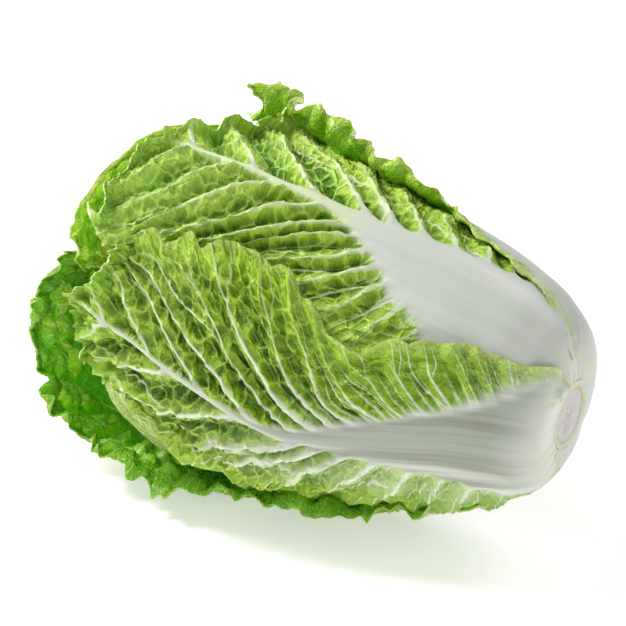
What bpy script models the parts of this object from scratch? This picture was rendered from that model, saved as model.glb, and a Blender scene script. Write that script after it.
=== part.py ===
"""A head of napa cabbage, cut at the stem and lying on its side.

The head's axis runs from the cut stem, at +X, to the leafy end, at -X, and rises a little towards
the leaves. A place on the head is given by how far it lies along a meridian, counted from the stem,
by its angle round the axis (0 faces -Y, 90 is up) and by its height over the outer surface. Every
leaf is a thin closed shell with a thick stalk. Its rows sweep forward from the midrib as its side
veins do, and it is pleated between them. Lengths are in millimetres until a mesh is made.
"""

import math

import bmesh
import bpy
import numpy as np

MM = 0.001

# Where the centre of the cut stem lies over the flat spot that the head rests on.
BASE_X = 136.0
BASE_Z = 74.6
AXIS_RISE = math.radians(5.0)

# Meridians, as (along the axis, from the axis). Outer leaves stay open at the leafy end, the two
# longest ones arch over it like hoods, and the inner ones close under those.
BODY = [(0, 16), (1, 26), (8, 40), (25, 53), (50, 64), (80, 74), (120, 85), (160, 92), (200, 95)]
OPEN_END = BODY + [(235, 96), (270, 97)]
HOOD_END = BODY + [(232, 94), (254, 86), (269, 69), (277, 47), (280, 20), (281, 0)]
INNER_HOOD_END = BODY + [(226, 93), (246, 84), (260, 66), (268, 44), (271, 20), (272, 0)]
CLOSED_END = BODY[:8] + [(185, 92), (208, 86), (228, 72), (242, 52), (250, 30), (253, 0)]
ROUNDING = 13
LEAST_GIRTH = 0.8

# How deep each ring of leaves lies, among the stalks and out in the blades.
RING_DEPTH = {"outer": (0.0, 0.0), "second": (12.8, 9.5), "third": (21.0, 15.5), "heart": (29.5, 21.5)}
STALK_ZONE = (60.0, 130.0)

BLADE_THICK = 1.0
STALK_SWELL = 0.05

STEM_CUT = 16.4
STEM_PROFILE = [(0, STEM_CUT), (10, 16.9), (12.5, 21), (21.5, 22)]
STEM_SIDES = 32
HEART_SIDES = 20
HEART_ROWS = 16
HEART_START = 22.0
HEART_FOLDS = 5
HEART_FOLD_DEPTH = 0.07

# The leaves. mid is the midrib's angle, and left and right are the half-widths of the blade towards
# smaller and greater angles, all as (place along the meridian, value). stalk is the half-width of the
# white stalk, and thick its thickness. sweep is how far side veins run forward, as a share of the
# leaf's length, and blunt is how little they turn back at the tip. pleat is the height of the veins.
# tuck lowers a side under its neighbour, and ruffle lifts waves on its margin. roll turns a strip of
# the margin outwards, as (place, width, degrees).
LEAVES = {
    "front_leaf": dict(
        ring="outer",
        meridian=OPEN_END,
        span=(3, 244),
        mid=[(3, -14), (17, -13), (33, -6), (50, -3), (98, -8), (130, -11), (159, -4), (200, 7), (244, 16)],
        left=[(3, 19), (17, 40), (43, 58), (69, 64), (83, 56), (101, 47), (124, 46), (150, 54), (172, 58),
              (188, 52), (200, 36), (218, 24), (244, 3)],
        right=[(3, 19), (17, 40), (33, 38), (60, 45), (92, 45), (104, 42), (126, 62), (140, 74),
               (164, 71), (186, 59), (218, 36), (240, 12), (244, 5)],
        stalk=[(3, 19), (17, 40), (33, 28), (55, 18), (76, 14), (98, 10), (119, 5), (150, 2.5), (244, 1)],
        thick=8.5,
        sweep=0.38,
        blunt=0.0,
        veins=12,
        columns=14,
        pleat=1.5,
        tuck=(-2.0, 0.0),
        ruffle=(1.5, 2.5),
        roll=(None, None),
    ),
    "top_leaf": dict(
        ring="outer",
        meridian=OPEN_END,
        span=(3, 249),
        mid=[(3, 80), (31, 80), (48, 76), (66, 71), (90, 69), (249, 69)],
        left=[(3, 9), (17, 16), (31, 22), (48, 33), (70, 42), (100, 52), (150, 62), (190, 68), (219, 63),
              (234, 52), (247, 36), (249, 22)],
        right=[(3, 5), (17, 10), (31, 19), (60, 38), (100, 58), (150, 68), (190, 72), (205, 66), (225, 50),
               (240, 26), (249, 10)],
        stalk=[(3, 9), (17, 16), (31, 24), (48, 23), (76, 18), (98, 13), (119, 7), (150, 3), (249, 1)],
        thick=7.0,
        sweep=0.42,
        blunt=0.0,
        veins=12,
        columns=14,
        pleat=1.3,
        tuck=(-4.8, -4.8),
        ruffle=(0.0, 0.0),
        roll=(None, None),
    ),
    "back_leaf": dict(
        ring="outer",
        meridian=OPEN_END,
        span=(3, 256),
        mid=[(3, 152), (256, 150)],
        left=[(3, 19), (17, 37), (38, 48), (55, 48), (82, 64), (116, 62), (134, 74), (168, 82), (205, 76),
              (230, 60), (248, 34), (256, 15)],
        right=[(3, 15), (17, 27), (40, 42), (80, 60), (130, 84), (180, 98), (215, 88), (240, 50), (256, 15)],
        stalk=[(3, 15), (17, 27), (33, 30), (60, 24), (98, 15), (119, 9), (150, 3), (256, 1)],
        thick=8.5,
        sweep=0.38,
        blunt=0.0,
        veins=10,
        columns=14,
        pleat=1.2,
        tuck=(0.0, 0.0),
        ruffle=(1.5, 1.5),
        roll=([(50, 4, 0), (80, 4, 80), (130, 7, 90), (180, 15, 120), (225, 18, 125), (256, 12, 110)], None),
    ),
    "under_leaf": dict(
        ring="outer",
        meridian=HOOD_END,
        span=(3, 370),
        mid=[(3, -124), (17, -121), (40, -112), (80, -102), (120, -98), (300, -93), (335, -84), (370, -70)],
        left=[(3, 12), (17, 22), (40, 38), (80, 56), (130, 75), (180, 90), (230, 90), (262, 80), (290, 72),
              (320, 70), (370, 88)],
        right=[(3, 14), (17, 24), (40, 36), (69, 44), (110, 64), (150, 80), (190, 88), (230, 83), (262, 72),
               (290, 69), (305, 69), (320, 73), (335, 89), (370, 126)],
        stalk=[(3, 12), (17, 22), (33, 27), (60, 22), (98, 14), (130, 8), (170, 3), (370, 1)],
        thick=8.5,
        sweep=0.3,
        blunt=1.0,
        veins=12,
        columns=14,
        pleat=1.0,
        tuck=(-3.6, 1.6),
        ruffle=(0.0, 1.5),
        roll=(None, [(60, 6, 0), (95, 9, 95), (180, 10, 100), (205, 24, 75), (225, 9, 90), (262, 6, 0)]),
    ),
    "second_back_leaf": dict(
        ring="second",
        meridian=INNER_HOOD_END,
        span=(15, 360),
        mid=[(15, 185), (200, 178), (250, 165), (290, 128), (360, 104)],
        left=[(15, 28), (40, 50), (80, 66), (130, 80), (200, 96), (260, 100), (300, 114), (360, 124)],
        right=[(15, 28), (40, 50), (80, 66), (130, 80), (200, 92), (260, 88), (300, 90), (360, 84)],
        stalk=[(15, 28), (40, 30), (80, 20), (120, 10), (160, 4), (360, 1)],
        thick=7.0,
        sweep=0.3,
        blunt=1.0,
        veins=9,
        columns=10,
        pleat=0.4,
        tuck=(-1.7, 1.7),
        ruffle=(0.0, 0.0),
        roll=(None, None),
    ),
    "second_front_leaf": dict(
        ring="second",
        meridian=CLOSED_END,
        span=(15, 262),
        mid=[(15, -60), (262, -50)],
        left=[(15, 28), (40, 50), (80, 68), (130, 82), (200, 90), (232, 70), (250, 46), (262, 26)],
        right=[(15, 28), (40, 50), (80, 68), (130, 82), (200, 90), (232, 70), (250, 46), (262, 26)],
        stalk=[(15, 28), (40, 30), (80, 20), (120, 10), (160, 4), (262, 1)],
        thick=7.0,
        sweep=0.32,
        blunt=0.0,
        veins=8,
        columns=9,
        pleat=0.4,
        tuck=(-1.7, 1.7),
        ruffle=(0.0, 0.0),
        roll=(None, None),
    ),
    "second_top_leaf": dict(
        ring="second",
        meridian=CLOSED_END,
        span=(15, 270),
        mid=[(15, 62), (270, 62)],
        left=[(15, 28), (40, 50), (80, 68), (130, 82), (200, 90), (235, 76), (256, 50), (270, 28)],
        right=[(15, 28), (40, 50), (80, 68), (130, 82), (200, 90), (235, 76), (256, 50), (270, 28)],
        stalk=[(15, 28), (40, 30), (80, 20), (120, 10), (160, 4), (270, 1)],
        thick=7.0,
        sweep=0.32,
        blunt=0.0,
        veins=8,
        columns=9,
        pleat=0.4,
        tuck=(-1.7, 1.7),
        ruffle=(0.0, 0.0),
        roll=(None, None),
    ),
    "third_front_leaf": dict(
        ring="third",
        meridian=CLOSED_END,
        span=(26, 300),
        mid=[(26, 5), (300, 5)],
        left=[(26, 40), (60, 64), (130, 90), (200, 100), (270, 84), (285, 70), (300, 50)],
        right=[(26, 40), (60, 64), (130, 90), (200, 100), (270, 84), (285, 70), (300, 50)],
        stalk=[(26, 26), (60, 22), (100, 14), (150, 5), (300, 1)],
        thick=6.0,
        sweep=0.26,
        blunt=0.0,
        veins=7,
        columns=8,
        pleat=0.4,
        tuck=(-1.7, 1.7),
        ruffle=(0.0, 0.0),
        roll=(None, None),
    ),
    "third_top_leaf": dict(
        ring="third",
        meridian=CLOSED_END,
        span=(26, 294),
        mid=[(26, 125), (294, 125)],
        left=[(26, 40), (60, 64), (130, 90), (200, 100), (270, 84), (285, 70), (294, 50)],
        right=[(26, 40), (60, 64), (130, 90), (200, 100), (270, 84), (285, 70), (294, 50)],
        stalk=[(26, 26), (60, 22), (100, 14), (150, 5), (294, 1)],
        thick=6.0,
        sweep=0.26,
        blunt=0.0,
        veins=7,
        columns=8,
        pleat=0.4,
        tuck=(-1.7, 1.7),
        ruffle=(0.0, 0.0),
        roll=(None, None),
    ),
    "third_under_leaf": dict(
        ring="third",
        meridian=CLOSED_END,
        span=(26, 290),
        mid=[(26, 245), (290, 245)],
        left=[(26, 40), (60, 64), (130, 90), (200, 100), (270, 84), (282, 70), (290, 50)],
        right=[(26, 40), (60, 64), (130, 90), (200, 100), (270, 84), (282, 70), (290, 50)],
        stalk=[(26, 26), (60, 22), (100, 14), (150, 5), (290, 1)],
        thick=6.0,
        sweep=0.26,
        blunt=0.0,
        veins=7,
        columns=8,
        pleat=0.4,
        tuck=(-1.7, 1.7),
        ruffle=(0.0, 0.0),
        roll=(None, None),
    ),
}

ROWS_PER_VEIN = 3
VEIN_RISE_POWER = 0.8
FULL_SWEEP = 0.25
TIP_TURN = 1.3
TIP_PLEAT = 2.5
TUCK_ZONE = (0.15, 0.7)
TUCK_SMOOTHING = 9.6
RUFFLE_ZONE = (0.72, 1.0)
RUFFLE_WAVES = 9
LOBES = 5.5
LOBE_DEPTH = 0.035
ROLL_WAVES = 7
ROLL_WAVE_SHARE = 0.3
THINNING = [(0, 1.0), (50, 0.94), (90, 0.58), (130, 0.32), (200, 0.14), (350, 0.0)]


def along(points, place):
    """The value that a list of (place, value) pairs has at each place."""
    return np.interp(place, [p for p, _ in points], [value for _, value in points])


def smoothstep(low, high, value):
    share = np.clip((value - low) / (high - low), 0.0, 1.0)
    return share * share * (3.0 - 2.0 * share)


class Meridian:
    """A rounded path from the stem to the leafy end, measured along its own length."""

    def __init__(self, points):
        points = np.array(points, float)
        path = self.evenly(points)
        half = ROUNDING // 2
        before = 2.0 * path[0] - path[half:0:-1]
        after = 2.0 * path[-1] - path[-2 : -half - 2 : -1]
        padded = np.concatenate([before, path, after])
        box = np.ones(ROUNDING) / ROUNDING
        path = np.stack([np.convolve(padded[:, i], box, "valid") for i in (0, 1)], axis=1)
        self.path = self.evenly(path)
        self.length = float(len(self.path) - 1)
        slope = np.gradient(self.path, axis=0)
        slope /= np.linalg.norm(slope, axis=1, keepdims=True)
        self.normal = np.stack([-slope[:, 1], slope[:, 0]], axis=1)
        widest = np.maximum.accumulate(self.path[:, 1])
        self.girth = np.maximum(self.path[:, 1], LEAST_GIRTH * widest)

    @staticmethod
    def evenly(points):
        """The same path with a point every millimetre."""
        steps = np.hypot(*np.diff(points, axis=0).T)
        reached = np.concatenate([[0.0], np.cumsum(steps)])
        places = np.arange(0.0, reached[-1], 1.0)
        return np.stack([np.interp(places, reached, points[:, i]) for i in (0, 1)], axis=1)

    def read(self, values, place):
        return np.interp(place, np.arange(len(values)), values)

    def at(self, place, height):
        """Along the axis and from the axis, at a height over the path."""
        out_x = self.read(self.normal[:, 0], place)
        out_r = self.read(self.normal[:, 1], place)
        x = self.read(self.path[:, 0], place) + height * out_x
        r = self.read(self.path[:, 1], place) + height * out_r
        return x, r

    def girth_at(self, place):
        return self.read(self.girth, place)


def on_head(x, r, angle):
    """World places, in millimetres, of points given along, from and round the axis."""
    rise, run = math.sin(AXIS_RISE), math.cos(AXIS_RISE)
    out, up = r * np.cos(angle), r * np.sin(angle)
    return np.stack([BASE_X - x * run + up * rise, -out, BASE_Z + x * rise + up * run], axis=-1)


def ring_depth(ring, place):
    among_stalks, in_blades = RING_DEPTH[ring]
    return among_stalks + (in_blades - among_stalks) * smoothstep(*STALK_ZONE, place)


def leaf_places(leaf, across, up, inner):
    """Where the points of a leaf lie. across runs from -1 to 1 and up from 0 to 1; inner is true on
    the face that looks at the heart."""
    meridian = Meridian(leaf["meridian"])
    first, last = leaf["span"]
    edge = np.abs(across)
    side = np.where(across < 0, -1.0, 1.0)

    def of_side(pair):
        return np.where(across < 0, pair[0], pair[1])

    turn_back = TIP_TURN + (1.0 - TIP_TURN) * leaf["blunt"]
    sweep = leaf["sweep"] * smoothstep(0.0, FULL_SWEEP, up) * (1.0 - turn_back * up**2)
    place = first + (last - first) * (up + sweep * edge**VEIN_RISE_POWER)
    width = of_side([along(leaf["left"], place), along(leaf["right"], place)])
    width = width * (1.0 + LOBE_DEPTH * np.sin(2.0 * math.pi * LOBES * up + side) * smoothstep(0.2, 0.4, up))

    # The stalk swells a little, and the blade is pleated between its veins.
    stalk = along(leaf["stalk"], place)
    from_mid = edge * width
    in_stalk = np.clip(1.0 - (from_mid / stalk) ** 2, 0.0, 1.0)
    blade = smoothstep(0.7, 1.6, from_mid / stalk)
    tuck = of_side(leaf["tuck"]) * smoothstep(*TUCK_ZONE, edge)
    pleat = leaf["pleat"] * np.cos(2.0 * math.pi * leaf["veins"] * up) * (1.0 - np.abs(tuck) / TUCK_SMOOTHING)
    if leaf["ring"] != "outer":
        pleat = pleat * (1.0 + (TIP_PLEAT - 1.0) * smoothstep(0.8, 1.0, up))
    height = -ring_depth(leaf["ring"], place) + tuck + blade * pleat + STALK_SWELL * stalk * in_stalk
    waves = 0.5 + 0.5 * np.sin(2.0 * math.pi * RUFFLE_WAVES * up + 1.3 * side)
    height = height + of_side(leaf["ruffle"]) * smoothstep(*RUFFLE_ZONE, edge) * waves

    # A rolled margin follows an arc that turns outwards.
    no_roll = [(0, 1.0, 0.0)]
    rolls = [np.array(roll or no_roll) for roll in leaf["roll"]]
    strip = of_side([np.interp(place, roll[:, 0], roll[:, 1]) for roll in rolls])
    turn = np.radians(of_side([np.interp(place, roll[:, 0], roll[:, 2]) for roll in rolls]))
    turn = turn * (1.0 + ROLL_WAVE_SHARE * np.sin(2.0 * math.pi * ROLL_WAVES * up + side)) + 1e-6
    into = np.clip((from_mid - width + strip) / strip, 0.0, 1.0)
    lean = turn * into
    thick = BLADE_THICK + (leaf["thick"] - BLADE_THICK) * along(THINNING, place) * in_stalk
    drop = np.where(inner, thick, 0.0)
    from_mid = from_mid + strip * (np.sin(lean) / turn - into) + drop * np.sin(lean)
    height = height + strip * (1.0 - np.cos(lean)) / turn - drop * np.cos(lean)
    angle = np.radians(along(leaf["mid"], place)) + side * from_mid / meridian.girth_at(place)
    x, r = meridian.at(place, height)
    places = on_head(x, r, angle)
    places[:, 2] = np.maximum(places[:, 2], np.where(inner, BLADE_THICK, 0.0))
    return places


def new_object(name, bm, material, smooth=True):
    mesh = bpy.data.meshes.new(name)
    bmesh.ops.recalc_face_normals(bm, faces=bm.faces)
    if bm.calc_volume(signed=True) < 0.0:
        bmesh.ops.reverse_faces(bm, faces=bm.faces)
    bm.to_mesh(mesh)
    bm.free()
    if smooth:
        mesh.shade_smooth()
        mesh.set_sharp_from_angle(angle=math.radians(50))
    mesh.materials.append(material)
    obj = bpy.data.objects.new(name, mesh)
    bpy.context.scene.collection.objects.link(obj)
    return obj


def make_leaf(name, leaf, material):
    """A grid, given a second face by extrusion, with both faces then laid on the head alike."""
    bm = bmesh.new()
    rows = leaf["veins"] * ROWS_PER_VEIN
    bmesh.ops.create_grid(bm, x_segments=leaf["columns"], y_segments=rows, size=1.0)
    bmesh.ops.triangulate(bm, faces=bm.faces, quad_method="FIXED")
    second = bmesh.ops.extrude_face_region(bm, geom=bm.faces[:])
    second_verts = [v for v in second["geom"] if isinstance(v, bmesh.types.BMVert)]
    bmesh.ops.translate(bm, verts=second_verts, vec=(0.0, 0.0, -1.0))
    grid = np.array([v.co for v in bm.verts])
    places = leaf_places(leaf, grid[:, 0], 0.5 * (grid[:, 1] + 1.0), grid[:, 2] < -0.5)
    for vert, place in zip(bm.verts, places * MM):
        vert.co = place
    return new_object(name, bm, material)


def turned(name, profile, sides, material, fold=None):
    """A closed body turned round the head's axis from (along, from the axis) points."""
    bm = bmesh.new()
    verts = [bm.verts.new((x, 0.0, r)) for x, r in profile]
    edges = [bm.edges.new(pair) for pair in zip(verts, verts[1:])]
    bmesh.ops.spin(bm, geom=verts + edges, cent=(0, 0, 0), axis=(1, 0, 0), angle=2.0 * math.pi, steps=sides,
                   use_merge=True)
    bmesh.ops.remove_doubles(bm, verts=bm.verts, dist=1e-4)
    for vert in bm.verts:
        x, y, z = vert.co
        r, angle = math.hypot(y, z), math.atan2(z, y)
        if fold:
            r = r * fold(x, angle)
        vert.co = on_head(np.float64(x), r, angle) * MM
    bmesh.ops.triangulate(bm, faces=bm.faces)
    return new_object(name, bm, material)


def make_stem(material):
    profile = [(0, 0)] + STEM_PROFILE + [(STEM_PROFILE[-1][0], 0)]
    return turned("stem", profile, STEM_SIDES, material)


def heart_fold(x, angle):
    """Folds of the small leaves that make up the heart, winding round it."""
    wave = math.cos(HEART_FOLDS * angle + x / 22.0)
    return 1.0 - HEART_FOLD_DEPTH * (0.5 - 0.5 * wave) * smoothstep(30.0, 90.0, x)


def make_heart(material):
    meridian = Meridian(CLOSED_END)
    places = np.linspace(30.0, meridian.length - 22.0, HEART_ROWS)
    x, r = meridian.at(places, -ring_depth("heart", places))
    inside = [(px, pr) for px, pr in zip(x, r) if pr > 1.0 and px > HEART_START]
    profile = [(HEART_START, 0), (HEART_START, 0.8 * inside[0][1])] + inside + [(inside[-1][0] + 2.0, 0)]
    return turned("heart", profile, HEART_SIDES, material, heart_fold)


def make_material(name, colour, roughness):
    material = bpy.data.materials.new(name)
    material.use_nodes = True
    shader = material.node_tree.nodes["Principled BSDF"]
    shader.inputs["Base Color"].default_value = (*colour, 1.0)
    shader.inputs["Roughness"].default_value = roughness
    shader.inputs["Metallic"].default_value = 0.0
    material.diffuse_color = (*colour, 1.0)
    return material


def main():
    for obj in list(bpy.data.objects):
        bpy.data.objects.remove(obj)
    outer_green = make_material("outer leaf", (0.36, 0.56, 0.14), 0.45)
    inner_green = make_material("inner leaf", (0.62, 0.72, 0.30), 0.5)
    heart_yellow = make_material("heart leaves", (0.80, 0.80, 0.48), 0.5)
    stem_white = make_material("cut stem", (0.86, 0.82, 0.74), 0.6)
    make_stem(stem_white)
    make_heart(heart_yellow)
    for name, leaf in LEAVES.items():
        make_leaf(name, leaf, outer_green if leaf["ring"] == "outer" else inner_green)


main()
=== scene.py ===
import math

import bmesh
import bpy
import numpy as np
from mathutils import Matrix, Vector


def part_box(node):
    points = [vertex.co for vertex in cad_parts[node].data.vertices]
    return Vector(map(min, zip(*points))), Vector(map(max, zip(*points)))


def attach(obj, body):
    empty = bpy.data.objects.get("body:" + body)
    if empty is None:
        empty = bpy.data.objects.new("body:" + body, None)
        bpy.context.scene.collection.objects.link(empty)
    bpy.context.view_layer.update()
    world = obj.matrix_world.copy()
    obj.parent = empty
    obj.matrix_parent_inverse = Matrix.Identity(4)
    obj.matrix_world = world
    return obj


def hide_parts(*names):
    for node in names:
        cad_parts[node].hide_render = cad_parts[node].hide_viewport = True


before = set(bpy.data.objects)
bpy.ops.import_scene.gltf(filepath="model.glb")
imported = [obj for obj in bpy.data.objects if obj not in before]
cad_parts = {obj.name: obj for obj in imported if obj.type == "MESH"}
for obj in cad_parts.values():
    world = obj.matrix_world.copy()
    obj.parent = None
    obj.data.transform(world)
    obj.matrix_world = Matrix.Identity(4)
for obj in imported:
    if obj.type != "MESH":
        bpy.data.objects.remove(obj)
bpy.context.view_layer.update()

mm = 0.001
fullTurn = 2.0 * math.pi

# The head's axis leaves the cut stem at +X and rises a little towards the leafy end at -X. Lengths
# are in millimetres unless a note says otherwise.
head = dict(
    axisRise=5.0,  # degrees
    cutRadius=16.4,
    stemLength=21.5,
    bladeThick=1.0,
    stalkSwell=0.05,  # how round a stalk is, as a share of its width
    rounding=13,
    leastGirth=0.8,  # near the tip, as a share of the widest girth
)
axisRise = math.radians(head["axisRise"])
stemLow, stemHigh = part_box("stem")
baseX = stemHigh.x / mm - head["cutRadius"] * math.sin(axisRise)
baseZ = 0.5 * (stemLow.z + stemHigh.z) / mm - head["stemLength"] * math.sin(axisRise)

# Paths from the stem to the leafy end, as (along the axis, from the axis) in millimetres.
body = [(0, 16), (1, 26), (8, 40), (25, 53), (50, 64), (80, 74), (120, 85), (160, 92), (200, 95)]
openEnd = body + [(235, 96), (270, 97)]
hoodEnd = body + [(232, 94), (254, 86), (269, 69), (277, 47), (280, 20), (281, 0)]
innerHoodEnd = body + [(226, 93), (246, 84), (260, 66), (268, 44), (271, 20), (272, 0)]
closedEnd = body[:8] + [(185, 92), (208, 86), (228, 72), (242, 52), (250, 30), (253, 0)]

# How deep each ring of leaves lies, among the stalks and out in the blades, and between which places
# along the leaf it passes from one to the other.
stalksEnd, bladesStart = 60.0, 130.0
ringDepths = {"outer": (0.0, 0.0), "second": (12.8, 9.5), "third": (21.0, 15.5), "heart": (29.5, 21.5)}


def smoothStep(low, high, value):
    share = np.clip((value - low) / (high - low), 0.0, 1.0)
    return share * share * (3.0 - 2.0 * share)


def softNoise(a, b, seed):  # smooth random hills between -1 and 1, one to a unit square
    table = np.random.default_rng(seed).uniform(-1.0, 1.0, (64, 64))
    wholeA, wholeB = np.floor(a).astype(int), np.floor(b).astype(int)
    partA, partB = smoothStep(0, 1, a - wholeA), smoothStep(0, 1, b - wholeB)

    def corner(i, j):
        return table[(wholeA + i) % 64, (wholeB + j) % 64]

    low = corner(0, 0) * (1 - partA) + corner(1, 0) * partA
    high = corner(0, 1) * (1 - partA) + corner(1, 1) * partA
    return low * (1 - partB) + high * partB


def cellNet(a, b, seed):  # how far a place lies from the border of its cell
    shifts = np.random.default_rng(seed).uniform(-0.42, 0.42, (64, 64, 2))
    wholeA, wholeB = np.floor(a).astype(int), np.floor(b).astype(int)
    nearest = np.full(a.shape, 9.0)
    second = np.full(a.shape, 9.0)
    for i in (-1, 0, 1):
        for j in (-1, 0, 1):
            shift = shifts[(wholeA + i) % 64, (wholeB + j) % 64]
            away = np.hypot(wholeA + i + 0.5 + shift[:, 0] - a, wholeB + j + 0.5 + shift[:, 1] - b)
            second = np.minimum(second, np.maximum(nearest, away))
            nearest = np.minimum(nearest, away)
    return second - nearest


def eased(points, place, window=17):  # reads (place, value) pairs with their corners rounded off
    places = np.arange(-window, 460 + window)
    table = np.interp(places, [p for p, _ in points], [value for _, value in points])
    table = np.convolve(table, np.ones(window) / window, "same")
    return np.interp(place, places[window:-window], table[window:-window])


class Path:  # a rounded meridian of the head, measured along its own length
    def __init__(self, points):
        path = self.evenly(np.array(points, float))
        half = head["rounding"] // 2
        before = 2.0 * path[0] - path[half:0:-1]
        after = 2.0 * path[-1] - path[-2 : -half - 2 : -1]
        padded = np.concatenate([before, path, after])
        window = np.ones(head["rounding"]) / head["rounding"]
        path = np.stack([np.convolve(padded[:, i], window, "valid") for i in (0, 1)], axis=1)
        self.path = self.evenly(path)
        self.length = float(len(self.path) - 1)
        slope = np.gradient(self.path, axis=0)
        slope /= np.linalg.norm(slope, axis=1, keepdims=True)
        self.normal = np.stack([-slope[:, 1], slope[:, 0]], axis=1)
        widest = np.maximum.accumulate(self.path[:, 1])
        self.girth = np.maximum(self.path[:, 1], head["leastGirth"] * widest)

    @staticmethod
    def evenly(points):
        reached = np.concatenate([[0.0], np.cumsum(np.hypot(*np.diff(points, axis=0).T))])
        places = np.arange(0.0, reached[-1], 1.0)
        return np.stack([np.interp(places, reached, points[:, i]) for i in (0, 1)], axis=1)

    def read(self, values, place):
        return np.interp(place, np.arange(len(values)), values)

    def at(self, place, height):
        x = self.read(self.path[:, 0], place) + height * self.read(self.normal[:, 0], place)
        r = self.read(self.path[:, 1], place) + height * self.read(self.normal[:, 1], place)
        return x, r


def onHead(x, r, angle):
    rise, run = math.sin(axisRise), math.cos(axisRise)
    out, up = r * np.cos(angle), r * np.sin(angle)
    return np.stack([baseX - x * run + up * rise, -out, baseZ + x * rise + up * run], axis=-1)


def ringDepth(ring, place):
    amongStalks, inBlades = ringDepths[ring]
    return amongStalks + (inBlades - amongStalks) * smoothStep(stalksEnd, bladesStart, place)


# How much of its thickness at the foot a stalk still has, by place along the leaf.
thinning = [(0, 1.0), (50, 0.94), (90, 0.58), (130, 0.32), (200, 0.14), (350, 0.0)]


# How every leaf grows. Forks and twigs leave and show between two shares of the half width.
growth = dict(
    bend=0.8,  # how side veins and the tip bend towards the margin
    longestVein=160.0,
    farVeinsFrom=112.0,
    forkAt=(0.28, 0.62),
    forkSeen=(0.3, 0.5),
    forkWide=0.75,  # as a share of the side vein's width
    twigAt=(0.6, 0.85),
    twigSeen=(0.62, 0.8),
    twigWide=0.6,
    leastWide=0.1,
    outOfReach=4.0,  # in widths of a vein, where it no longer shows
    tipRagged=3.0,
    fineMesh=3.4,
    blisterSize=(18.0, 16.0),
    scrapSize=(4.0, 6.5),
)


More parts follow.
